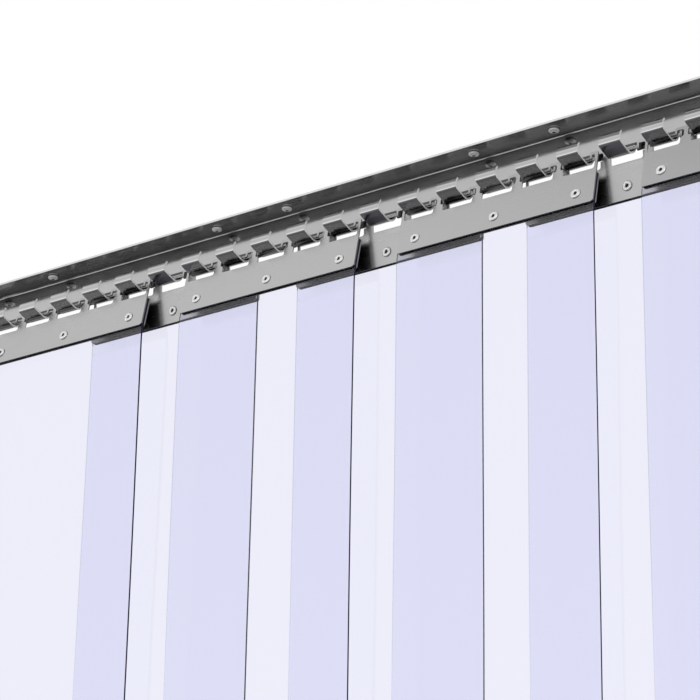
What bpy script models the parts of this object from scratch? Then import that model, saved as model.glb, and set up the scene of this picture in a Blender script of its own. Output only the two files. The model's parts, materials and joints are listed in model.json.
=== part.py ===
"""Strip curtain of soft PVC on a stainless hook rail, hung under a lintel.

Metres, +Z up, X along the rail, -Y towards the side that the photograph shows. The origin is
on the rail's top face, the one that is screwed up against the lintel, over its middle hook.
"""

import math

import bmesh
import bpy

# Hook rail, one bent and punched sheet
HOOK_COUNT = 25
RAIL_SHEET = 0.002
FLANGE_WIDTH = 0.028
HOOK_DROP = 0.042
HOOK_SLOPE = math.radians(20)
HOOK_WIDTH = 0.0206
HOOK_REACH = 0.026
LIP_HEIGHT = 0.0111
LIP_LEAN = 0.0043
FOLD_RADIUS = 0.0015
HEEL_RADIUS = 0.010
TOE_RADIUS = 0.0012
SLOT_WIDTH = 0.001
FINGER_RISE = 0.006

# Screws through the flange, in pairs
SCREW_LINE = 0.013
SCREW_PAIRS = 4
PAIR_STEP_HOOKS = 7
PAIR_SPAN_HOOKS = 2
SCREW_HEAD_RADIUS = 0.0047
SCREW_HEAD_HEIGHT = 0.0026
SCREW_SHANK_RADIUS = 0.0024
SCREW_STAND_OUT = 0.006
SCREW_TIP = 0.003
SOCKET_RADIUS = 0.0017
SOCKET_DEPTH = 0.0015

# Strips and how they share the hooks
STRIP_COUNT = 7
STRIP_WIDTH = 0.200
STRIP_SHEET = 0.002
STRIP_STEP_HOOKS = 3
CURTAIN_DROP = 2.000
FRONT_LEAN = math.radians(12)
BEND_RADIUS = 0.060
FRONT_BAR_BACKSET = 0.0144
REAR_BAR_BACKSET = 0.02275

# Clamp plates
PLATE_SHEET = 0.0015
WINDOWS = 5
WINDOW_POST = 0.004
END_POST = 0.0025
SIDE_SLACK = 0.0052
SIDE_REST_SHARE = 0.75
WINDOW_HEIGHT = 0.0032
WINDOW_SIDE_RISE = 0.0042
SADDLE_WALL = 0.002
WINDOW_RADIUS = 0.002
HEEL_SLOT_DROP = 0.0068
BAR_HEIGHT = 0.002
SHOULDER_RISE = 0.005
SADDLE_WIDTH = 0.020
SHOULDER_RADIUS = 0.0015
APRON_HEIGHT = 0.0407
PLATE_CORNER = 0.003
BACKING_HEIGHT = 0.032
STRIP_TUCK = 0.030

# Rivets
RIVET_RISE = 0.012
RIVET_STEP_HOOKS = 2
RIVET_HEAD_RADIUS = 0.0047
RIVET_HEAD_HEIGHT = 0.0013
RIVET_SHANK_RADIUS = 0.0024
RIVET_TAIL_RADIUS = 0.0040
RIVET_BORE_RADIUS = 0.0011
RIVET_BORE_DEPTH = 0.0040

# Fits and cutters
SEAT_GAP = 0.0003
HOLE_CLEARANCE = 0.0003
OVERRUN = 0.001
WELD = 0.000001

# Facets
ROUND_STEPS = 8
HEEL_STEPS = 7
BEND_STEPS = 3
CORNER_STEPS = 2

# Places that follow from the sizes above
END_MARGIN = HOOK_WIDTH / 2 + SIDE_SLACK + END_POST
HOOK_PITCH = (STRIP_WIDTH - 2 * END_MARGIN) / (WINDOWS - 1)
SIDE_REST = SIDE_REST_SHARE * SIDE_SLACK
LEG_BACK = FLANGE_WIDTH / 2
LEG_FACE = LEG_BACK - RAIL_SHEET
TOE = LEG_FACE - HOOK_REACH
HOOK_FLOOR = RAIL_SHEET - HOOK_DROP
HEEL_CENTRE = (LEG_FACE - HEEL_RADIUS, HOOK_FLOOR + HEEL_RADIUS)
BAR_HALF = BAR_HEIGHT / 2
WINDOW_BOTTOM = -BAR_HALF - WINDOW_HEIGHT
PLATE_BOTTOM = WINDOW_BOTTOM - APRON_HEIGHT
RIVET_LEVEL = PLATE_BOTTOM + RIVET_RISE
STRIP_PLANE = PLATE_SHEET / 2 + SEAT_GAP + STRIP_SHEET / 2
BACKING_PLANE = STRIP_PLANE + STRIP_SHEET / 2 + SEAT_GAP + PLATE_SHEET / 2


def collection(name):
    made = bpy.data.collections.new(name)
    bpy.context.scene.collection.children.link(made)
    return made


def principled(name, colour, roughness, metallic, alpha=1.0):
    made = bpy.data.materials.new(name)
    made.use_nodes = True
    shader = made.node_tree.nodes["Principled BSDF"]
    shader.inputs["Base Color"].default_value = (*colour, 1.0)
    shader.inputs["Roughness"].default_value = roughness
    shader.inputs["Metallic"].default_value = metallic
    shader.inputs["Alpha"].default_value = alpha
    return made


def place(name, data, material, parent=None, location=(0, 0, 0), upright=False):
    """A named object in the curtain's collection; upright turns its +Z to the front."""
    made = bpy.data.objects.new(name, data)
    curtain.objects.link(made)
    if not data.materials:
        data.materials.append(material)
    made.parent = parent
    made.location = location
    if upright:
        made.rotation_euler.x = math.pi / 2
    return made


def arc(centre, radius, start, end, steps):
    """Points of an arc in degrees, both ends included."""
    return [
        (
            centre[0] + radius * math.cos(math.radians(start + (end - start) * i / steps)),
            centre[1] + radius * math.sin(math.radians(start + (end - start) * i / steps)),
        )
        for i in range(steps + 1)
    ]


def folded_sheet(name, columns):
    """An open sheet folded along X. Each column is (x from, x to, path of (y, z) points)."""
    sheet = bmesh.new()
    for x_from, x_to, path in columns:
        for (y_a, z_a), (y_b, z_b) in zip(path, path[1:]):
            corners = [(x_from, y_a, z_a), (x_from, y_b, z_b), (x_to, y_b, z_b), (x_to, y_a, z_a)]
            sheet.faces.new([sheet.verts.new(corner) for corner in corners])
    bmesh.ops.remove_doubles(sheet, verts=sheet.verts, dist=WELD)
    mesh = bpy.data.meshes.new(name)
    sheet.to_mesh(mesh)
    sheet.free()
    return mesh


def thicken(obj, thickness, offset=-1):
    solid = obj.modifiers.new("thickness", "SOLIDIFY")
    solid.thickness = thickness
    solid.offset = offset
    solid.use_even_offset = True


def punch(obj, loops, thickness, location, upright=True):
    """Cuts closed loops of (x, y) points through obj's sheet, which is centred on location."""
    depth = thickness + 2 * OVERRUN
    prisms = bmesh.new()
    for loop in loops:
        base = prisms.faces.new([prisms.verts.new((x, y, -depth / 2)) for x, y in loop])
        grown = bmesh.ops.extrude_face_region(prisms, geom=[base])["geom"]
        far = [item for item in grown if isinstance(item, bmesh.types.BMVert)]
        bmesh.ops.translate(prisms, verts=far, vec=(0, 0, depth))
    bmesh.ops.recalc_face_normals(prisms, faces=prisms.faces)
    mesh = bpy.data.meshes.new(obj.name + "_holes")
    prisms.to_mesh(mesh)
    prisms.free()
    cutter = bpy.data.objects.new(mesh.name, mesh)
    cutters.objects.link(cutter)
    cutter.parent = obj.parent
    cutter.location = location
    if upright:
        cutter.rotation_euler.x = math.pi / 2
    cutter.hide_render = True
    cutter.display_type = "WIRE"
    cut = obj.modifiers.new("holes", "BOOLEAN")
    cut.operation = "DIFFERENCE"
    cut.solver = "EXACT"
    cut.object = cutter


def flat_plate(name, outline):
    """A flat face from a closed loop of (x, y) points."""
    face = bmesh.new()
    face.faces.new([face.verts.new((x, y, 0)) for x, y in outline])
    mesh = bpy.data.meshes.new(name)
    face.to_mesh(mesh)
    face.free()
    return mesh


def rounded_box(left, right, bottom, top, radius, steps):
    """A closed loop with four round corners, anticlockwise."""
    corners = (
        (right - radius, top - radius, 0),
        (left + radius, top - radius, 90),
        (left + radius, bottom + radius, 180),
        (right - radius, bottom + radius, 270),
    )
    return [
        point
        for x, y, start in corners
        for point in arc((x, y), radius, start, start + 90, steps)
    ]


def circle(centre, radius):
    return arc(centre, radius, 0, 360, ROUND_STEPS)[:-1]


def turned(name, profile):
    """A profile of (radius, z) points, run down the outer side, for a Screw modifier."""
    mesh = bpy.data.meshes.new(name)
    points = [(radius, 0, z) for radius, z in profile]
    mesh.from_pydata(points, [(i, i + 1) for i in range(len(points) - 1)], [])
    return mesh


def spin(obj):
    turn = obj.modifiers.new("turned", "SCREW")
    turn.steps = ROUND_STEPS
    turn.render_steps = ROUND_STEPS
    turn.use_merge_vertices = True
    turn.merge_threshold = WELD


def hook_centres():
    return [(i - (HOOK_COUNT - 1) / 2) * HOOK_PITCH for i in range(HOOK_COUNT)]


def rail_paths():
    """The sheet's channel side in (y, z): the part that runs on, a hook, and a finger."""
    fold = (LEG_FACE - FOLD_RADIUS, -RAIL_SHEET - FOLD_RADIUS)
    shared = [(-FLANGE_WIDTH / 2, -RAIL_SHEET)]
    shared += arc(fold, FOLD_RADIUS, 90, 0, BEND_STEPS)
    shared.append((LEG_FACE, HEEL_CENTRE[1]))
    lean = math.degrees(math.atan2(LIP_LEAN, LIP_HEIGHT))
    toe_y = TOE + RAIL_SHEET + TOE_RADIUS
    fall = (HEEL_CENTRE[0] - toe_y) * math.tan(HOOK_SLOPE)
    toe = (toe_y, HEEL_CENTRE[1] + fall - (HEEL_RADIUS - TOE_RADIUS) / math.cos(HOOK_SLOPE))
    flat = 270 - math.degrees(HOOK_SLOPE)
    hook = arc(HEEL_CENTRE, HEEL_RADIUS, 360, flat, HEEL_STEPS)
    hook += arc(toe, TOE_RADIUS, flat, 180 - lean, BEND_STEPS)
    last_y, last_z = hook[-1]
    rise = toe[1] - TOE_RADIUS - RAIL_SHEET + LIP_HEIGHT - last_z
    hook.append((last_y + rise * math.tan(math.radians(lean)), last_z + rise))
    finger = [shared[-1], (LEG_FACE, HOOK_FLOOR - RAIL_SHEET + FINGER_RISE)]
    return shared, shared + hook[1:], shared + finger[1:]


def screw_places():
    """The screws' x: pairs a set number of hooks apart, even about the middle."""
    middle = (SCREW_PAIRS - 1) / 2
    for i in range(SCREW_PAIRS):
        for side in (-1, 1):
            hooks = (i - middle) * PAIR_STEP_HOOKS + side * PAIR_SPAN_HOOKS / 2
            yield hooks * HOOK_PITCH


def make_rail():
    running, hooked, fingered = rail_paths()
    columns = []
    edge = -HOOK_COUNT * HOOK_PITCH / 2
    for centre in hook_centres():
        left, right = centre - HOOK_WIDTH / 2, centre + HOOK_WIDTH / 2
        columns.append((edge, left - SLOT_WIDTH, fingered))
        columns.append((left - SLOT_WIDTH, left, running))
        columns.append((left, right, hooked))
        columns.append((right, right + SLOT_WIDTH, running))
        edge = right + SLOT_WIDTH
    columns.append((edge, HOOK_COUNT * HOOK_PITCH / 2, fingered))
    rail = place("hook_rail", folded_sheet("hook_rail", columns), steel)
    thicken(rail, RAIL_SHEET)
    line = LEG_FACE - SCREW_LINE
    holes = [circle((x, line), SCREW_SHANK_RADIUS + HOLE_CLEARANCE) for x in screw_places()]
    punch(rail, holes, RAIL_SHEET, (0, 0, -RAIL_SHEET / 2), upright=False)


def make_screws():
    """Button-head screws, driven up through the flange from below."""
    seat = SEAT_GAP + RAIL_SHEET
    tip = seat + SCREW_STAND_OUT
    shape = turned(
        "rail_screw",
        (
            (0, tip),
            (SCREW_SHANK_RADIUS, tip - SCREW_TIP),
            (SCREW_SHANK_RADIUS, 0),
            (SCREW_HEAD_RADIUS, 0),
            (SCREW_HEAD_RADIUS, -SCREW_HEAD_HEIGHT / 3),
            ((SCREW_HEAD_RADIUS + SOCKET_RADIUS) / 2, -SCREW_HEAD_HEIGHT),
            (SOCKET_RADIUS, -SCREW_HEAD_HEIGHT),
            (SOCKET_RADIUS, SOCKET_DEPTH - SCREW_HEAD_HEIGHT),
            (0, SOCKET_DEPTH - SCREW_HEAD_HEIGHT),
        ),
    )
    for number, x in enumerate(screw_places(), 1):
        place_at = (x, LEG_FACE - SCREW_LINE, -seat)
        spin(place(f"rail_screw_{number}", shape, fastener, location=place_at))


def trough_height(y):
    """How high the hook's inner side lies at y: down the slope to the heel, then up it."""
    past = y - HEEL_CENTRE[0]
    start = -HEEL_RADIUS * math.sin(HOOK_SLOPE)
    if past < start:
        foot = HEEL_CENTRE[1] - HEEL_RADIUS * math.cos(HOOK_SLOPE)
        return foot + (start - past) * math.tan(HOOK_SLOPE)
    return HEEL_CENTRE[1] - math.sqrt(HEEL_RADIUS**2 - past**2)


def hook_plate_outline():
    """Shoulders between the hooks stand above a low saddle over each hook."""
    half = STRIP_WIDTH / 2
    crest = BAR_HALF + SHOULDER_RISE
    corner_x, corner_z = half - PLATE_CORNER, PLATE_BOTTOM + PLATE_CORNER
    outline = [(-half, crest)]
    outline += arc((-corner_x, corner_z), PLATE_CORNER, 180, 270, CORNER_STEPS)
    outline += arc((corner_x, corner_z), PLATE_CORNER, 270, 360, CORNER_STEPS)
    outline.append((half, crest))
    for number in reversed(range(WINDOWS)):
        middle = (number - (WINDOWS - 1) / 2) * HOOK_PITCH
        right, left = middle + SADDLE_WIDTH / 2, middle - SADDLE_WIDTH / 2
        round_z = crest - SHOULDER_RADIUS
        outline += arc((right + SHOULDER_RADIUS, round_z), SHOULDER_RADIUS, 90, 180, CORNER_STEPS)
        outline += [(right, BAR_HALF), (left, BAR_HALF)]
        outline += arc((left - SHOULDER_RADIUS, round_z), SHOULDER_RADIUS, 0, 90, CORNER_STEPS)
    return outline


def rivet_places():
    return [step * RIVET_STEP_HOOKS * HOOK_PITCH for step in (-1, 0, 1)]


def rivet_holes():
    return [
        circle((x, RIVET_LEVEL), RIVET_SHANK_RADIUS + HOLE_CLEARANCE) for x in rivet_places()
    ]


def window_outline(middle, left, right):
    """A closed loop, anticlockwise: two raised sides, a low bar between them over the hook, and
    below it a narrower slot for the hook's heel."""
    rounding, floor = WINDOW_RADIUS, WINDOW_BOTTOM - HEEL_SLOT_DROP
    top = -BAR_HALF + WINDOW_SIDE_RISE
    high, step, low = top - rounding, WINDOW_BOTTOM + rounding, floor + rounding
    saddle = SADDLE_WIDTH / 2 + SADDLE_WALL
    slot = HOOK_WIDTH / 2 + SIDE_SLACK
    loop = arc((right - rounding, high), rounding, 0, 90, CORNER_STEPS)
    loop += [(middle + saddle, top), (middle + saddle, -BAR_HALF)]
    loop += [(middle - saddle, -BAR_HALF), (middle - saddle, top)]
    loop += arc((left + rounding, high), rounding, 90, 180, CORNER_STEPS)
    if middle - slot - left > rounding:
        loop += arc((left + rounding, step), rounding, 180, 270, CORNER_STEPS)
        loop.append((middle - slot, WINDOW_BOTTOM))
    loop += arc((middle - slot + rounding, low), rounding, 180, 270, CORNER_STEPS)
    loop += arc((middle + slot - rounding, low), rounding, 270, 360, CORNER_STEPS)
    if right - middle - slot > rounding:
        loop.append((middle + slot, WINDOW_BOTTOM))
        loop += arc((right - rounding, step), rounding, 270, 360, CORNER_STEPS)
    return loop


def windows():
    """One window over each hook, with a post between windows and a thinner one at each end."""
    openings = []
    edge = STRIP_WIDTH / 2 - END_POST
    reach = (HOOK_PITCH - WINDOW_POST) / 2
    for number in range(WINDOWS):
        middle = (number - (WINDOWS - 1) / 2) * HOOK_PITCH
        left, right = max(middle - reach, -edge), min(middle + reach, edge)
        openings.append(window_outline(middle, left, right))
    return openings


def backing_plate_outline():
    half = STRIP_WIDTH / 2
    top = PLATE_BOTTOM + BACKING_HEIGHT
    return rounded_box(-half, half, PLATE_BOTTOM, top, PLATE_CORNER, CORNER_STEPS)


def make_plate(name, mesh, openings, swing, y):
    plate = place(name, mesh, steel, swing, (0, y, 0), upright=True)
    thicken(plate, PLATE_SHEET, offset=0)
    punch(plate, openings, PLATE_SHEET, plate.location)


def rivet_shape():
    """A hollow rivet: its flange in front, its bore open there, its tail set behind."""
    face = PLATE_SHEET / 2 + SEAT_GAP
    tail = -(BACKING_PLANE + PLATE_SHEET / 2 + SEAT_GAP)
    crest = face + RIVET_HEAD_HEIGHT
    floor = crest - RIVET_BORE_DEPTH
    ring = (RIVET_HEAD_RADIUS + RIVET_BORE_RADIUS) / 2
    return turned(
        "rivet",
        (
            (0, floor),
            (RIVET_BORE_RADIUS, floor),
            (RIVET_BORE_RADIUS, crest - RIVET_HEAD_HEIGHT / 3),
            (ring, crest),
            (RIVET_HEAD_RADIUS, crest - RIVET_HEAD_HEIGHT / 2),
            (RIVET_HEAD_RADIUS, face),
            (RIVET_SHANK_RADIUS, face),
            (RIVET_SHANK_RADIUS, tail),
            (RIVET_TAIL_RADIUS, tail),
            (RIVET_TAIL_RADIUS, tail - RIVET_HEAD_HEIGHT / 2),
            (0, tail - RIVET_HEAD_HEIGHT),
        ),
    )


def strip_path(lean, drop):
    """The strip's front side in its clamp's (y, z): along the plates, then down plumb."""
    front = STRIP_PLANE - STRIP_SHEET / 2
    path = [(front, PLATE_BOTTOM + STRIP_TUCK), (front, PLATE_BOTTOM)]
    if lean:
        centre = (front + BEND_RADIUS, PLATE_BOTTOM)
        turn = math.degrees(lean)
        path += arc(centre, BEND_RADIUS, 180, 180 + turn, BEND_STEPS)[1:]
    last_y, last_z = path[-1]
    left = drop + last_z * math.cos(lean) - last_y * math.sin(lean)
    path.append((last_y + left * math.sin(lean), last_z - left * math.cos(lean)))
    return path


def make_clamp(number, middle_hook, in_front, shapes):
    """One strip with its two plates and three rivets, on an empty at its swing axis."""
    plate_shape, backing_shape, rivet = shapes
    lean = FRONT_LEAN if in_front else 0
    bar_y = TOE + (FRONT_BAR_BACKSET if in_front else REAR_BAR_BACKSET)
    highest = max(trough_height(bar_y + side * PLATE_SHEET / 2) for side in (-1, 1))
    bar_z = highest + SEAT_GAP + BAR_HALF
    swing = bpy.data.objects.new(f"swing_{number}", None)
    curtain.objects.link(swing)
    swing.location = (middle_hook * HOOK_PITCH + SIDE_REST, bar_y, bar_z)
    swing.rotation_euler.x = -lean
    make_plate(f"hook_plate_{number}", plate_shape, windows() + rivet_holes(), swing, 0)
    make_plate(f"backing_plate_{number}", backing_shape, rivet_holes(), swing, BACKING_PLANE)
    for side, x in zip(("left", "middle", "right"), rivet_places()):
        here = (x, 0, RIVET_LEVEL)
        spin(place(f"rivet_{number}_{side}", rivet, fastener, swing, here, upright=True))
    half = STRIP_WIDTH / 2
    path = strip_path(lean, CURTAIN_DROP + bar_z)
    sheet = folded_sheet(f"strip_{number}", [(-half, half, path)])
    strip = place(sheet.name, sheet, clear_pvc, swing)
    thicken(strip, STRIP_SHEET)
    punch(strip, rivet_holes(), STRIP_SHEET, (0, STRIP_PLANE, 0))


def make_clamps():
    """Front and rear clamps in turn, each sharing two hooks with the next."""
    plate = flat_plate("hook_plate", hook_plate_outline())
    backing = flat_plate("backing_plate", backing_plate_outline())
    shapes = (plate, backing, rivet_shape())
    for number in range(1, STRIP_COUNT + 1):
        middle_hook = (number - (STRIP_COUNT + 1) / 2) * STRIP_STEP_HOOKS
        make_clamp(number, middle_hook, number % 2 == 1, shapes)


for old in list(bpy.data.objects):
    bpy.data.objects.remove(old)
curtain = collection("strip_curtain")
cutters = collection("cutters")
steel = principled("stainless_sheet", (0.62, 0.62, 0.63), 0.28, 1.0)
fastener = principled("bright_fastener", (0.80, 0.80, 0.81), 0.18, 1.0)
clear_pvc = principled("clear_pvc", (0.80, 0.81, 0.95), 0.08, 0.0, alpha=0.45)
make_rail()
make_screws()
make_clamps()
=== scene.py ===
import json
import math

import bmesh
import bpy
from mathutils import Matrix, Vector


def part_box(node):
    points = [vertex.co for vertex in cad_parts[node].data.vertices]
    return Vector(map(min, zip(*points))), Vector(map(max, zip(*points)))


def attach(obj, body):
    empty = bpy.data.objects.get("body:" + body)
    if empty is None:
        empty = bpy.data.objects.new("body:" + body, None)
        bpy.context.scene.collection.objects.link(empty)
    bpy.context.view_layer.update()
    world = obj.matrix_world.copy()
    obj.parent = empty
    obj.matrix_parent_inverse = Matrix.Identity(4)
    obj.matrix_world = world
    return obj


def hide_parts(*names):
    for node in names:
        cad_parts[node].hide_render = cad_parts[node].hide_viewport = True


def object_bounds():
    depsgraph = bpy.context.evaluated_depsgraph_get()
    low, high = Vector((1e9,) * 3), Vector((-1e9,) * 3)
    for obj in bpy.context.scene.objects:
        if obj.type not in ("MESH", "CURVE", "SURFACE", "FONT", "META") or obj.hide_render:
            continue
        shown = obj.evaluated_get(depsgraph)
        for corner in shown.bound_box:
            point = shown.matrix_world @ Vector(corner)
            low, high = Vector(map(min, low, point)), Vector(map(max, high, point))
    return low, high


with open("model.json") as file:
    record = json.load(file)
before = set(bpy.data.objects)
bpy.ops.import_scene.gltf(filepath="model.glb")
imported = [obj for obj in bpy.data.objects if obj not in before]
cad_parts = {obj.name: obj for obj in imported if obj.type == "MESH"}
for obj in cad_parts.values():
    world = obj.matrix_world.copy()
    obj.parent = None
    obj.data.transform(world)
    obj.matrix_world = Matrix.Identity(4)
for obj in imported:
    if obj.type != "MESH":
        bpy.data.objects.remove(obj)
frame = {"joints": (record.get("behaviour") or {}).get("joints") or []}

cad_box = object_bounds()

# The hook rail. One sheet of cold-rolled stainless, punched and folded along X: a flange screwed
# up against the lintel, a back leg whose foot is painted dark as the shade behind the plates, and a
# comb of J hooks that slope down to their heels and turn up into rolled lips. Each width of it is
# one path in Y and Z.
RAIL_LOW, RAIL_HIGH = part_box("hook_rail")
RAIL_SHEET = 0.002
HOOK_COUNT = 25
HOOK_PITCH = (RAIL_HIGH.x - RAIL_LOW.x) / HOOK_COUNT
HOOK_WIDTH = 0.0206
HOOK_SLOPE = math.radians(20)
HOOK_FLOOR = RAIL_LOW.z + RAIL_SHEET
HEEL_RADIUS = 0.010
TOE_RADIUS = 0.0012
LIP_HEIGHT = 0.0111
LIP_LEAN = math.radians(34)
LIP_ROLL = 0.009
ROLL_START = 187  # degrees, as arc() counts them: the toe's bend ends here and the lip's begins
LEG_FACE = RAIL_HIGH.y - RAIL_SHEET
FOLD_RADIUS = 0.0015
SLOT_WIDTH = 0.001
FINGER_RISE = 0.006
SHADED_FOOT_LEVEL = -0.0285
FACE_TOLERANCE = 0.0001
CUT_ANGLE = math.radians(50)
SHEET_CREASE = math.radians(28)
RAIL_BURR = 0.0003
SCREW_COUNT = 8
SCREW_SHANK = 0.0024
HOLE_PLAY = 0.0003
ROUND_STEPS = 40
CORNER_STEPS = 6
HEEL_STEPS = 20
TOE_STEPS = 8


def arc(centre, radius, start, end, steps):
    """Points of an arc in degrees, both ends included."""
    turns = [math.radians(start + (end - start) * i / steps) for i in range(steps + 1)]
    return [(centre[0] + radius * math.cos(t), centre[1] + radius * math.sin(t)) for t in turns]


def circle(centre, radius, steps=ROUND_STEPS):
    return arc(centre, radius, 0, 360, steps)[:-1]


def in_scene(name, data=None):
    made = bpy.data.objects.new(name, data)
    bpy.context.scene.collection.objects.link(made)
    return made


def object_from(shape, name):
    """Turns a bmesh into an object of the scene, and frees the bmesh."""
    mesh = bpy.data.meshes.new(name)
    shape.to_mesh(mesh)
    shape.free()
    return in_scene(name, mesh)


def folded_sheet(name, columns):
    """An open sheet folded along X. Each column is (x from, x to, path of (y, z) points)."""
    sheet = bmesh.new()
    for x_from, x_to, path in columns:
        for (y_a, z_a), (y_b, z_b) in zip(path, path[1:]):
            corners = [(x_from, y_a, z_a), (x_from, y_b, z_b), (x_to, y_b, z_b), (x_to, y_a, z_a)]
            sheet.faces.new([sheet.verts.new(corner) for corner in corners])
    bmesh.ops.remove_doubles(sheet, verts=sheet.verts, dist=1e-6)
    return object_from(sheet, name)


def thicken(piece, thickness, offset=-1):
    """Gives a sheet its thickness, with the second material on its cut edges."""
    solid = piece.modifiers.new("thickness", "SOLIDIFY")
    solid.thickness = thickness
    solid.offset = offset
    solid.use_even_offset = True
    solid.material_offset_rim = 1


def finish_mesh(piece):
    """Keeps the evaluated mesh in place of the modifiers."""
    graph = bpy.context.evaluated_depsgraph_get()
    mesh = bpy.data.meshes.new_from_object(piece.evaluated_get(graph))
    piece.modifiers.clear()
    piece.data = mesh


def punch(piece, loops, depth, height=0.0):
    """Cuts closed loops of (x, y) points through piece, along its own Z."""
    prisms = bmesh.new()
    for loop in loops:
        base = [prisms.verts.new((x, y, height - depth / 2)) for x, y in loop]
        grown = bmesh.ops.extrude_face_region(prisms, geom=[prisms.faces.new(base)])["geom"]
        far = [item for item in grown if isinstance(item, bmesh.types.BMVert)]
        bmesh.ops.translate(prisms, verts=far, vec=(0, 0, depth))
    bmesh.ops.recalc_face_normals(prisms, faces=prisms.faces)
    tool = object_from(prisms, "punch")
    cut = piece.modifiers.new("holes", "BOOLEAN")
    cut.operation = "DIFFERENCE"
    cut.object = tool
    finish_mesh(piece)
    bpy.data.objects.remove(tool)


def smooth(piece, crease):
    """Shades a piece smooth, but crisp where it turns by more than the crease's angle."""
    piece.data.shade_smooth()
    piece.data.set_sharp_from_angle(angle=crease)


def deburr(piece, width, segments=2):
    """Rounds the sheet's cut edges, and shades folds smooth, edges crisp and flats flat."""
    edge = piece.modifiers.new("deburred edge", "BEVEL")
    edge.width = width
    edge.segments = segments
    edge.limit_method = "ANGLE"
    edge.angle_limit = CUT_ANGLE
    edge.use_clamp_overlap = True
    finish_mesh(piece)
    smooth(piece, SHEET_CREASE)
    flats = piece.modifiers.new("flats", "WEIGHTED_NORMAL")
    flats.keep_sharp = True
    finish_mesh(piece)


def feed(tree, node, inputs):
    """Gives each named input of a node its value, or links another node's output to it."""
    for name, value in inputs.items():
        if isinstance(value, bpy.types.NodeSocket):
            tree.links.new(value, node.inputs[name])
        else:
            node.inputs[name].default_value = value


def add_node(tree, kind, inputs, **settings):
    """A new shader node of a kind, with its own settings and then its inputs."""
    made = tree.nodes.new("ShaderNode" + kind)
    for name, value in settings.items():
        setattr(made, name, value)
    feed(tree, made, inputs)
    return made


def new_material(name):
    """A material with nodes, its tree, and its Principled BSDF."""
    made = bpy.data.materials.new(name)
    made.use_nodes = True
    return made, made.node_tree, made.node_tree.nodes["Principled BSDF"]


def steel(name, colour, low, high, grain, along=(1, 40, 40), metallic=1.0):
    """Stainless with grain drawn out along X, faint handling marks, and painted shade that darkens
    its colour in crevices and near other parts.
    """
    made, tree, shader = new_material(name)
    place = add_node(tree, "TexCoord", {}).outputs["Object"]
    drawn = add_node(tree, "Mapping", {"Vector": place, "Scale": along}).outputs["Vector"]
    streaks = add_node(tree, "TexNoise", {"Vector": drawn, "Scale": 60, "Detail": 4})
    marks = add_node(
        tree, "TexNoise", {"Vector": place, "Scale": 23, "Detail": 5, "Roughness": 0.65}
    )
    both = add_node(
        tree, "Mix", {"Factor": 0.55, "A": streaks.outputs["Fac"], "B": marks.outputs["Fac"]}
    ).outputs["Result"]
    gloss = add_node(
        tree,
        "MapRange",
        {"Value": both, "From Min": 0.3, "From Max": 0.7, "To Min": low, "To Max": high},
    )
    tone = add_node(tree, "ValToRGB", {"Fac": both})
    worn, clean = tone.color_ramp.elements
    worn.position, worn.color = 0.3, (*[c * 0.90 for c in colour], 1)
    clean.position, clean.color = 0.7, (*colour, 1)
    # Painted shade: ambient occlusion darkens the base colour, down to a quarter, wherever other
    # surfaces are near.
    occlusion_shade = add_node(tree, "AmbientOcclusion", {"Distance": 0.018}, samples=8)
    open_share = add_node(
        tree,
        "MapRange",
        {"Value": occlusion_shade.outputs["AO"], "From Min": 0.3, "From Max": 0.75, "To Min": 0.25},
    )
    shaded_tone = add_node(
        tree,
        "Mix",
        {"Factor": 1.0, "A": tone.outputs["Color"], "B": open_share.outputs["Result"]},
        data_type="RGBA",
        blend_type="MULTIPLY",
    )
    relief = add_node(
        tree, "Bump", {"Strength": grain, "Distance": 0.0002, "Height": streaks.outputs["Fac"]}
    )
    feed(tree, shader, {
        "Metallic": metallic,
        "Roughness": gloss.outputs["Result"],
        "Base Color": shaded_tone.outputs["Result"],
        "Normal": relief.outputs["Normal"],
    })
    return made


def rail_paths():
    """The sheet's channel side in (y, z): the part that runs on, a hook, and a finger."""
    heel = (LEG_FACE - HEEL_RADIUS, HOOK_FLOOR + HEEL_RADIUS)
    fold = (LEG_FACE - FOLD_RADIUS, -RAIL_SHEET - FOLD_RADIUS)
    shared = [(RAIL_LOW.y, -RAIL_SHEET), *arc(fold, FOLD_RADIUS, 90, 0, CORNER_STEPS)]
    shared += [(LEG_FACE, SHADED_FOOT_LEVEL), (LEG_FACE, heel[1])]
    toe_y = RAIL_LOW.y + RAIL_SHEET + TOE_RADIUS
    fall = (heel[0] - toe_y) * math.tan(HOOK_SLOPE)
    toe = (toe_y, heel[1] + fall - (HEEL_RADIUS - TOE_RADIUS) / math.cos(HOOK_SLOPE))
    flat = 270 - math.degrees(HOOK_SLOPE)
    hook = arc(heel, HEEL_RADIUS, 360, flat, HEEL_STEPS)
    hook += arc(toe, TOE_RADIUS, flat, ROLL_START, TOE_STEPS)
    start, reach = math.radians(ROLL_START), LIP_ROLL - TOE_RADIUS
    roll = (toe[0] - reach * math.cos(start), toe[1] - reach * math.sin(start))
    hook += arc(roll, LIP_ROLL, ROLL_START, 180 - math.degrees(LIP_LEAN), CORNER_STEPS)[1:]
    rise = toe[1] - TOE_RADIUS - RAIL_SHEET + LIP_HEIGHT - hook[-1][1]
    hook.append((hook[-1][0] + rise * math.tan(LIP_LEAN), hook[-1][1] + rise))
    finger = (LEG_FACE, RAIL_LOW.z + FINGER_RISE)
    return shared, shared + hook[1:], shared + [finger]


def rail_columns():
    """The rail from end to end: fingers and hooks by turns, with a slot beside each hook."""
    running, hooked, fingered = rail_paths()
    edge = RAIL_LOW.x
    for number in range(HOOK_COUNT):
        left = RAIL_LOW.x + (number + 0.5) * HOOK_PITCH - HOOK_WIDTH / 2
        right = left + HOOK_WIDTH
        yield edge, left - SLOT_WIDTH, fingered
        yield left - SLOT_WIDTH, left, running
        yield left, right, hooked
        yield right, right + SLOT_WIDTH, running
        edge = right + SLOT_WIDTH
    yield edge, RAIL_HIGH.x, fingered


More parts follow.
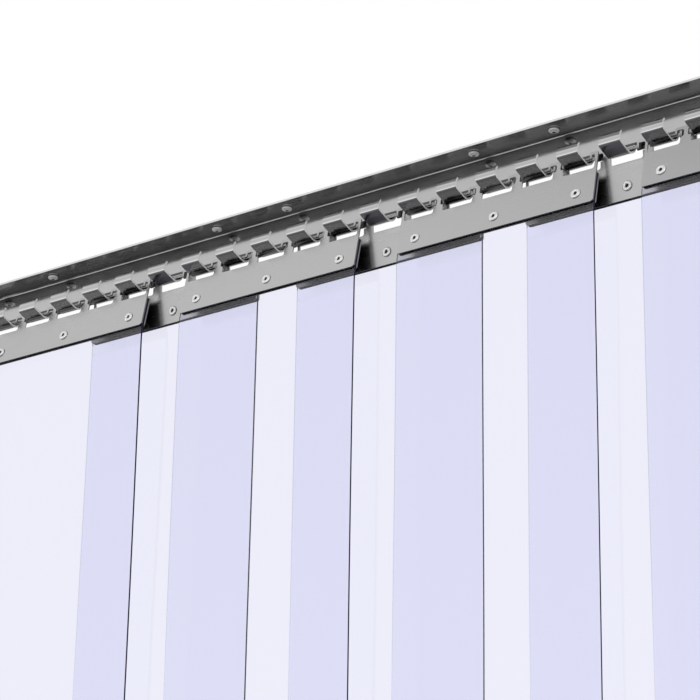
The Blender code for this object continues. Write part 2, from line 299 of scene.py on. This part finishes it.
rolled_steel = steel("rolled stainless", (0.72, 0.715, 0.72), 0.09, 0.17, 0.02)
cut_steel = steel("sheared edge", (0.80, 0.795, 0.80), 0.30, 0.45, 0.04, metallic=0.4)
# Painted shade: the leg's foot takes a near-black steel, standing in for the shade behind the
# plates.
shaded_foot_steel = steel("leg foot painted dark as shade", (0.15, 0.145, 0.15), 0.20, 0.35, 0.02)
screw_boxes = [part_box(f"rail_screw_{number}") for number in range(1, SCREW_COUNT + 1)]
screw_points = [(low + high) / 2 for low, high in screw_boxes]
rail = folded_sheet("stainless_hook_rail", rail_columns())
for material in (rolled_steel, cut_steel, shaded_foot_steel):
    rail.data.materials.append(material)
# The leg's front face low down gets that painted-shade material.
for polygon in rail.data.polygons:
    if polygon.center.z < SHADED_FOOT_LEVEL and polygon.center.y > LEG_FACE - FACE_TOLERANCE:
        polygon.material_index = 2
thicken(rail, RAIL_SHEET)
punch(rail, [circle((p.x, p.y), SCREW_SHANK + HOLE_PLAY) for p in screw_points], 10 * RAIL_SHEET)
deburr(rail, RAIL_BURR)
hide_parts("hook_rail")
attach(rail, "rail")

# The rail's screws. Bright stainless button heads with a hexagon socket, driven up through the
# flange in pairs, with their shanks standing free where the lintel would hold them.
# Each is one turned profile, and the socket is sunk into its head.
HEAD_RADIUS = 0.0047
HEAD_HEIGHT = 0.0026
HEAD_WALL = 0.0008
HEAD_FLATNESS = 0.38
SOCKET_RADIUS = 0.0018
SOCKET_DEPTH = 0.0016
SOCKET_LAND = 1.15 * SOCKET_RADIUS
TIP_HEIGHT = 0.002
TIP_RADIUS = 0.8 * SCREW_SHANK
THREAD_PITCH = 0.0013
THREAD_END = 0.0004
THREAD_ROOT = 0.86 * SCREW_SHANK
CROWN_STEPS = 10
TURNED_CREASE = math.radians(40)


def turned(name, profile):
    """A solid of revolution about Z from (radius, z) points, in the order of its outline."""
    lathe = bmesh.new()
    rings = []
    for radius, z in profile:
        if radius:
            rings.append([lathe.verts.new((x, y, z)) for x, y in circle((0, 0), radius)])
        else:
            rings.append([lathe.verts.new((0, 0, z))] * ROUND_STEPS)
    for upper, lower in zip(rings, rings[1:]):
        for i in range(ROUND_STEPS):
            after = (i + 1) % ROUND_STEPS
            corners = [upper[i], lower[i], lower[after], upper[after]]
            lathe.faces.new(list(dict.fromkeys(corners)))
    bmesh.ops.recalc_face_normals(lathe, faces=lathe.faces)
    made = object_from(lathe, name)
    smooth(made, TURNED_CREASE)
    return made


def thread(tip):
    """The shank's outline from its tip down, with one crest in the middle of each turn."""
    points = []
    for i in range(int((tip - THREAD_END) / THREAD_PITCH)):
        points.append((THREAD_ROOT, tip - THREAD_PITCH * (i + 0.15)))
        points.append((SCREW_SHANK, tip - THREAD_PITCH * (i + 0.5)))
        points.append((THREAD_ROOT, tip - THREAD_PITCH * (i + 0.85)))
    return points


bright_steel = steel("bright stainless", (0.92, 0.915, 0.92), 0.16, 0.26, 0.04, (12, 12, 12), 0.55)
for number, (low, high) in enumerate(screw_boxes, 1):
    seat, tip = low.z + HEAD_HEIGHT, high.z - TIP_HEIGHT
    rim = seat - HEAD_WALL
    crown = arc((0, 0), HEAD_RADIUS, 0, -90, CROWN_STEPS)
    screw = turned(
        f"button_screw_{number}",
        [(0, high.z), (TIP_RADIUS, tip)]
        + thread(tip)
        + [(SCREW_SHANK, seat), (HEAD_RADIUS, seat)]
        + [(r, rim + z * HEAD_FLATNESS) for r, z in crown if r > SOCKET_RADIUS]
        + [(SOCKET_LAND, low.z), (0, low.z)],
    )
    screw.data.materials.append(bright_steel)
    hexagon = circle((0, 0), SOCKET_RADIUS, 6)
    punch(screw, [hexagon], 2 * SOCKET_DEPTH, low.z)
    smooth(screw, TURNED_CREASE)
    screw.location.xy = screw_points[number - 1].xy
    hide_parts(f"rail_screw_{number}")
    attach(screw, "rail")

# The clamps' hook plates. Punched from 1.5 mm stainless as wide as the strip, with the cut
# edges painted dark as shade: five windows over five hooks, slots for the heels, bars that hang in
# the troughs, and shoulders between. Each is drawn flat about its bar, thickened, and stood up in
# its clamp.
CLAMPS = range(1, 8)
PLATE_SHEET = 0.0015
PLATE_WIDTH = 0.200
PLATE_CORNER = 0.003
PLATE_BURR = 0.00028
WINDOWS = 5
WINDOW_POST = 0.004
END_POST = 0.0025
WINDOW_HEIGHT = 0.0032
WINDOW_SIDE_RISE = 0.0042
WINDOW_RADIUS = 0.002
HEEL_SLOT_DROP = 0.0068
SIDE_SLACK = 0.0052
BAR_HALF = 0.001
SADDLE_WIDTH = 0.020
SADDLE_WALL = 0.002
SHOULDER_RISE = 0.005
SHOULDER_RADIUS = 0.0015
APRON_HEIGHT = 0.0407
FRONT_LEAN = math.radians(12)
WINDOW_BOTTOM = -BAR_HALF - WINDOW_HEIGHT
PLATE_BOTTOM = WINDOW_BOTTOM - APRON_HEIGHT
RIVET_LEVEL = PLATE_BOTTOM + 0.012
RIVET_SHANK = 0.0024
RIVET_PLACES = (-2 * HOOK_PITCH, 0, 2 * HOOK_PITCH)
RIVET_HOLE_STEPS = 24
SHOULDER_STEPS = 5


def window_middles():
    return [(number - (WINDOWS - 1) / 2) * HOOK_PITCH for number in range(WINDOWS)]


def window_outline(middle, left, right):
    """Two raised sides, a low bar between them over the hook, and the heel's slot below."""
    r, foot = WINDOW_RADIUS, WINDOW_BOTTOM - HEEL_SLOT_DROP
    top = -BAR_HALF + WINDOW_SIDE_RISE
    saddle, slot = SADDLE_WIDTH / 2 + SADDLE_WALL, HOOK_WIDTH / 2 + SIDE_SLACK
    loop = arc((right - r, top - r), r, 0, 90, CORNER_STEPS)
    loop += [(middle + saddle, top), (middle + saddle, -BAR_HALF)]
    loop += [(middle - saddle, -BAR_HALF), (middle - saddle, top)]
    loop += arc((left + r, top - r), r, 90, 180, CORNER_STEPS)
    if middle - slot - left > r:
        loop += arc((left + r, WINDOW_BOTTOM + r), r, 180, 270, CORNER_STEPS)
        loop.append((middle - slot, WINDOW_BOTTOM))
    loop += arc((middle - slot + r, foot + r), r, 180, 270, CORNER_STEPS)
    loop += arc((middle + slot - r, foot + r), r, 270, 360, CORNER_STEPS)
    if right - middle - slot > r:
        loop.append((middle + slot, WINDOW_BOTTOM))
        loop += arc((right - r, WINDOW_BOTTOM + r), r, 270, 360, CORNER_STEPS)
    return loop


def windows():
    edge = PLATE_WIDTH / 2 - END_POST
    reach = (HOOK_PITCH - WINDOW_POST) / 2
    for middle in window_middles():
        left, right = max(middle - reach, -edge), min(middle + reach, edge)
        yield window_outline(middle, left, right)


def hook_plate_outline():
    """The apron below, and the top edge from right to left: shoulders with bars between."""
    half, crest = PLATE_WIDTH / 2, BAR_HALF + SHOULDER_RISE
    corner_x, corner_z = half - PLATE_CORNER, PLATE_BOTTOM + PLATE_CORNER
    round_x, round_z = half - SHOULDER_RADIUS, crest - SHOULDER_RADIUS
    outline = arc((-round_x, round_z), SHOULDER_RADIUS, 90, 180, SHOULDER_STEPS)
    outline += arc((-corner_x, corner_z), PLATE_CORNER, 180, 270, CORNER_STEPS)
    outline += arc((corner_x, corner_z), PLATE_CORNER, 270, 360, CORNER_STEPS)
    outline += arc((round_x, round_z), SHOULDER_RADIUS, 0, 90, SHOULDER_STEPS)
    for middle in reversed(window_middles()):
        right, left = middle + SADDLE_WIDTH / 2, middle - SADDLE_WIDTH / 2
        from_bar, to_bar = right + SHOULDER_RADIUS, left - SHOULDER_RADIUS
        outline += arc((from_bar, round_z), SHOULDER_RADIUS, 90, 180, SHOULDER_STEPS)
        outline += [(right, BAR_HALF), (left, BAR_HALF)]
        outline += arc((to_bar, round_z), SHOULDER_RADIUS, 0, 90, SHOULDER_STEPS)
    return outline


def rivet_holes():
    radius = RIVET_SHANK + HOLE_PLAY
    return [circle((x, RIVET_LEVEL), radius, RIVET_HOLE_STEPS) for x in RIVET_PLACES]


def stamped_plate(name, outline, openings):
    """A flat plate in its own X and Y, punched and deburred, its front face up."""
    flat = bmesh.new()
    flat.faces.new([flat.verts.new((x, y, 0)) for x, y in outline])
    plate = object_from(flat, name)
    plate.data.materials.append(plate_steel)
    plate.data.materials.append(plate_edge_shade)
    thicken(plate, PLATE_SHEET, 0)
    punch(plate, openings, 4 * PLATE_SHEET)
    deburr(plate, PLATE_BURR, 3)
    return plate


def hang(piece, number, node, y=0.0):
    """Puts a flat-drawn piece upright into its clamp, in place of its CAD node."""
    piece.parent = swings[number - 1]
    piece.location.y = y
    piece.rotation_euler.x = math.pi / 2
    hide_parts(node)
    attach(piece, f"hanger_{number}")


plate_steel = steel("tumbled stainless", (0.68, 0.68, 0.685), 0.20, 0.30, 0.02)
# Painted shade: the plates' cut edges are a dark steel, standing in for the shade along them.
plate_edge_shade = steel("punched edge painted dark as shade", (0.34, 0.335, 0.34), 0.25, 0.40, 0.04)
hook_plate = stamped_plate("hook_plate", hook_plate_outline(), [*windows(), *rivet_holes()])
swings = []
for number, joint in enumerate(frame["joints"], 1):
    swing = in_scene(f"swing_{number}")
    swing.location = joint["pos_m"]
    swing.rotation_euler.x = -FRONT_LEAN if number % 2 else 0
    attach(swing, f"hanger_{number}")
    swings.append(swing)
for number in CLAMPS:
    plate = in_scene(f"windowed_plate_{number}", hook_plate.data)
    hang(plate, number, f"hook_plate_{number}")
bpy.data.objects.remove(hook_plate)

# The clamps' backing plates. The same sheet, plain, behind the strip: it has only the three
# rivet holes and stops below the windows.
BACKING_HEIGHT = 0.032
STRIP_SHEET = 0.002
SEAT_GAP = 0.0003
STRIP_PLANE = PLATE_SHEET / 2 + SEAT_GAP + STRIP_SHEET / 2
BACKING_PLANE = STRIP_PLANE + STRIP_SHEET / 2 + SEAT_GAP + PLATE_SHEET / 2


def backing_outline():
    """The plate's outline: a box with all four corners rounded."""
    right = PLATE_WIDTH / 2 - PLATE_CORNER
    low, high = PLATE_BOTTOM + PLATE_CORNER, PLATE_BOTTOM + BACKING_HEIGHT - PLATE_CORNER
    outline = []
    for turns, corner in enumerate(((right, high), (-right, high), (-right, low), (right, low))):
        outline += arc(corner, PLATE_CORNER, 90 * turns, 90 * turns + 90, CORNER_STEPS)
    return outline


backing_plate = stamped_plate("backing_plate", backing_outline(), rivet_holes())
for number in CLAMPS:
    plate = in_scene(f"plain_plate_{number}", backing_plate.data)
    hang(plate, number, f"backing_plate_{number}", BACKING_PLANE)
bpy.data.objects.remove(backing_plate)

# The rivets. Hollow stainless rivets, three to a clamp, with a rounded ring head in front, an
# open bore painted dark inside as shade, and a tail rolled over the backing plate.
# Each is one turned profile, from the floor of its bore over the ring and back along the shank.
RIVET_HEAD = 0.0047
RIVET_HEIGHT = 0.0013
RIVET_BORE = 0.0014
RIVET_TAIL = 0.0040
BORE_DEPTH = 0.004
BORE_TOLERANCE = 0.0002
RING_MIDDLE = (RIVET_HEAD + RIVET_BORE) / 2
RING_HALF = (RIVET_HEAD - RIVET_BORE) / 2
RING_STEPS = 12
TAIL_STEPS = 4
front = PLATE_SHEET / 2 + SEAT_GAP
back = -(BACKING_PLANE + PLATE_SHEET / 2 + SEAT_GAP)
ring, rolled_over = arc((0, 0), 1, 180, 0, RING_STEPS), arc((0, 0), 1, 20, 70, TAIL_STEPS)
rivet = turned(
    "rivet",
    [(0, front - BORE_DEPTH), (RIVET_BORE, front - BORE_DEPTH)]
    + [(RING_MIDDLE + RING_HALF * r, front + RIVET_HEIGHT * z) for r, z in ring]
    + [(RIVET_SHANK, front), (RIVET_SHANK, back), (RIVET_TAIL, back)]
    + [(RIVET_TAIL * r, back - RIVET_HEIGHT * z) for r, z in rolled_over]
    + [(0, back - RIVET_HEIGHT)],
)
rivet.data.materials.append(bright_steel)
# Painted shade: the faces inside the bore get a near-black steel, standing in for the shade in the
# hole.
rivet.data.materials.append(steel("bore painted dark as shade", (0.10, 0.10, 0.105), 0.5, 0.7, 0.02))
for polygon in rivet.data.polygons:
    reach = max(rivet.data.vertices[i].co.xy.length for i in polygon.vertices)
    in_bore = reach < RIVET_BORE + BORE_TOLERANCE and polygon.center.z > 0
    polygon.material_index = int(in_bore)
for number in CLAMPS:
    for side, x in zip(("left", "middle", "right"), RIVET_PLACES):
        made = in_scene(f"hollow_rivet_{number}_{side}", rivet.data)
        made.location.x = x
        made.location.z = RIVET_LEVEL
        hang(made, number, f"rivet_{number}_{side}")
bpy.data.objects.remove(rivet)

# The strips. Clear soft PVC, 200 mm wide and 2 mm thick, cut straight from the roll and clamped
# between the plates. Front ones leave their leaning plates at a slant and bend plumb at once;
# all keep a trace of the roll's curl. Their cut sides are clear within and painted near-black from
# outside as shade.
STRIP_TUCK = 0.030
STRIP_ROWS = 48
STRIP_COLUMNS = 16
BEND_RADIUS = 0.060
BEND_STEPS = 8
CURL_START = 0.03
CURL, CURL_ONSET = 0.0022, 0.6
SWAY, SWAY_ONSET = 0.0012, 0.3
SWAY_RATE, SWAY_STEP = 4.1, 1.7
PVC_COLOUR = (0.86, 0.865, 0.975)
PVC_ROUGHNESS = 0.03


def clear_pvc(name):
    """Clear plastic whose surface is a little uneven, drawn out down the strip."""
    made, tree, shader = new_material(name)
    place = add_node(tree, "TexCoord", {}).outputs["Object"]
    drawn = add_node(tree, "Mapping", {"Vector": place, "Scale": (9, 9, 1.2)}).outputs["Vector"]
    flow = add_node(tree, "TexNoise", {"Vector": drawn, "Scale": 3, "Detail": 3})
    haze = add_node(tree, "MapRange", {
        "Value": flow.outputs["Fac"],
        "To Min": PVC_ROUGHNESS * 0.6,
        "To Max": PVC_ROUGHNESS * 1.4,
    })
    feed(tree, shader, {
        "Transmission Weight": 1.0,
        "IOR": 1.5,
        "Base Color": (*PVC_COLOUR, 1),
        "Roughness": haze.outputs["Result"],
    })
    return made


def strip_path(lean, bar_y, bar_z, bottom):
    """The strip's front side in (y, z), from between the plates down to its hem."""
    front = STRIP_PLANE - STRIP_SHEET / 2
    path = [(front, PLATE_BOTTOM + STRIP_TUCK * share) for share in (1, 0.75, 0.5, 0.25, 0)]
    if lean:
        centre, end = (front + BEND_RADIUS, PLATE_BOTTOM), 180 + math.degrees(lean)
        path += arc(centre, BEND_RADIUS, 180, end, BEND_STEPS)[1:]
    across, down = math.cos(lean), math.sin(lean)
    hung = [(bar_y + y * across + z * down, bar_z + z * across - y * down) for y, z in path]
    last_y, last_z = hung[-1]
    step = (bottom - last_z) / STRIP_ROWS
    return hung + [(last_y, last_z + step * i) for i in range(1, STRIP_ROWS + 1)]


pvc = clear_pvc("clear PVC")
pvc_edge = clear_pvc("cut PVC edge painted dark outside")
tree = pvc_edge.node_tree
# Painted shade: seen from outside, the strips' cut sides are a near-black diffuse, standing in for
# the dark look of clear edges.
edge_shade = add_node(tree, "BsdfDiffuse", {"Color": (0.02, 0.02, 0.045, 1)})
either = add_node(tree, "MixShader", {
    0: add_node(tree, "NewGeometry", {}).outputs["Backfacing"],
    1: edge_shade.outputs["BSDF"],
    2: tree.nodes["Principled BSDF"].outputs["BSDF"],
})
feed(tree, tree.nodes["Material Output"], {"Surface": either.outputs["Shader"]})
for number, joint in enumerate(frame["joints"], 1):
    low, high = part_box(f"strip_{number}")
    _, bar_y, bar_z = joint["pos_m"]
    path = strip_path(FRONT_LEAN if number % 2 else 0, bar_y, bar_z, low.z)
    step = (high.x - low.x) / STRIP_COLUMNS
    columns = [(low.x + step * i, low.x + step * (i + 1), path) for i in range(STRIP_COLUMNS)]
    strip = folded_sheet(f"pvc_strip_{number}", columns)
    for vertex in strip.data.vertices:
        below = max(0, bar_z + PLATE_BOTTOM - CURL_START - vertex.co.z)
        across = (vertex.co.x - low.x) / (high.x - low.x) * 2 - 1
        wave = math.sin(below * SWAY_RATE + number * SWAY_STEP)
        curl = CURL * across * across * min(1, below / CURL_ONSET)
        sway = SWAY * wave * min(1, below / SWAY_ONSET)
        vertex.co.y += curl + sway
    strip.data.materials.append(pvc)
    strip.data.materials.append(pvc_edge)
    thicken(strip, STRIP_SHEET)
    finish_mesh(strip)
    smooth(strip, TURNED_CREASE)
    length = sum(math.dist(a, b) for a, b in zip(path, path[1:]))
    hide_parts(f"strip_{number}")
    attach(strip, f"hanger_{number}")

# The studio. A pale floor and a white surround, which are seen directly and through the PVC only.
# The steel mirrors a room instead, with a light horizon, a darker ring overhead and a dark
# ground, as dark as the photograph has the hooks and the flange from below.
FLOOR_SIDE = 6.0
FLOOR_DROP = 0.02
ROOM_TILT = -0.05
GROUND = (0.20, (0.12, 0.118, 0.12, 1))
ZENITH = (1.0, (0.95, 0.95, 0.955, 1))
ROOM_LEVELS = (  # height, from 0 straight down over 0.5 at the horizon to 1, and lightness there
    (0.26, 0.36), (0.285, 0.28), (0.30, 0.09), (0.31, 0.03), (0.335, 0.03), (0.35, 0.18),
    (0.37, 0.24), (0.40, 0.9), (0.43, 1.15), (0.57, 1.15), (0.62, 0.85), (0.75, 0.64),
    (0.80, 0.72), (0.86, 0.82), (0.89, 0.25), (0.94, 0.25), (0.97, 0.90),
)
LAMPS = (  # name, place, side in metres, watts
    ("key", (-1.6, -2.6, 1.9), 1.6, 26),
    ("side", (3.0, -0.8, 0.2), 1.4, 40),
    ("back", (0.4, 2.8, 1.2), 1.6, 20),
)
LAMPS_AIM = Vector((0, 0, -0.4))

floor_shape = bmesh.new()
bmesh.ops.create_grid(floor_shape, x_segments=1, y_segments=1, size=FLOOR_SIDE / 2)
floor = object_from(floor_shape, "floor")
floor.location.z = cad_box[0].z - FLOOR_DROP
pale, tree, paint = new_material("pale floor")
feed(tree, paint, {"Base Color": (0.86, 0.86, 0.86, 1), "Roughness": 0.7})
mirrored = add_node(tree, "Math", {
    0: add_node(tree, "LightPath", {}).outputs["Glossy Depth"],
    1: 1,
}, operation="MINIMUM")
seen = add_node(tree, "MixShader", {
    0: mirrored.outputs["Value"],
    1: paint.outputs["BSDF"],
    2: add_node(tree, "BsdfTransparent", {}).outputs["BSDF"],
})
feed(tree, tree.nodes["Material Output"], {"Surface": seen.outputs["Shader"]})
floor.data.materials.append(pale)

world = bpy.data.worlds.new("studio")
bpy.context.scene.world = world
world.use_nodes = True
tree = world.node_tree
where = add_node(tree, "TexCoord", {}).outputs["Generated"]
axes = add_node(tree, "SeparateXYZ", {"Vector": where})
toward = add_node(
    tree,
    "Math",
    {0: axes.outputs["Y"], 1: ROOM_TILT, 2: axes.outputs["Z"]},
    operation="MULTIPLY_ADD",
)
height = add_node(tree, "MapRange", {"Value": toward.outputs["Value"], "From Min": -1})
room = add_node(tree, "ValToRGB", {"Fac": height.outputs["Result"]})
for element, (position, colour) in zip(room.color_ramp.elements, (GROUND, ZENITH)):
    element.position = position
    element.color = colour
for position, level in ROOM_LEVELS:
    room.color_ramp.elements.new(position).color = (level, level, level, 1)
around = tree.nodes["Background"]
feed(tree, around, {"Color": room.outputs["Color"]})
white = add_node(tree, "Background", {"Color": (1, 1, 1, 1)})
ray = add_node(tree, "LightPath", {})
straight = add_node(
    tree,
    "Math",
    {0: ray.outputs["Is Camera Ray"], 1: ray.outputs["Is Transmission Ray"]},
    operation="MAXIMUM",
)
unmirrored = add_node(
    tree,
    "Math",
    {0: straight.outputs["Value"], 1: ray.outputs["Glossy Depth"]},
    operation="SUBTRACT",
    use_clamp=True,
)
seen = add_node(tree, "MixShader", {
    0: unmirrored.outputs["Value"],
    1: around.outputs["Background"],
    2: white.outputs["Background"],
})
feed(tree, tree.nodes["World Output"], {"Surface": seen.outputs["Shader"]})

for name, place, side, watts in LAMPS:
    lamp = bpy.data.lights.new(name, "AREA")
    lamp.size = side
    lamp.energy = watts
    lamp_object = in_scene(name, lamp)
    lamp_object.location = place
    lamp_object.visible_camera = False
    lamp_object.visible_glossy = False
    lamp_object.visible_transmission = False
    aim = LAMPS_AIM - lamp_object.location
    lamp_object.rotation_euler = aim.to_track_quat("-Z", "Y").to_euler()

# The camera stands below the rail and to its right, and looks up and to the left along it.
# The photograph's lens was shifted up. Here the camera tilts up instead and has no shift.
CAMERA_PLACE = (1.279, -1.735, -0.999)
CAMERA_LENS = 137.3
YAW, PITCH, ROLL = (math.radians(angle) for angle in (37.0, 111.2, 1.1))
camera = in_scene("camera", bpy.data.cameras.new("camera"))
camera.location = CAMERA_PLACE
turn = Matrix.Rotation(YAW, 4, "Z") @ Matrix.Rotation(PITCH, 4, "X") @ Matrix.Rotation(ROLL, 4, "Z")
camera.rotation_euler = turn.to_euler()
camera.data.lens = CAMERA_LENS
bpy.context.scene.camera = camera
bpy.context.scene.view_settings.view_transform = "Standard"
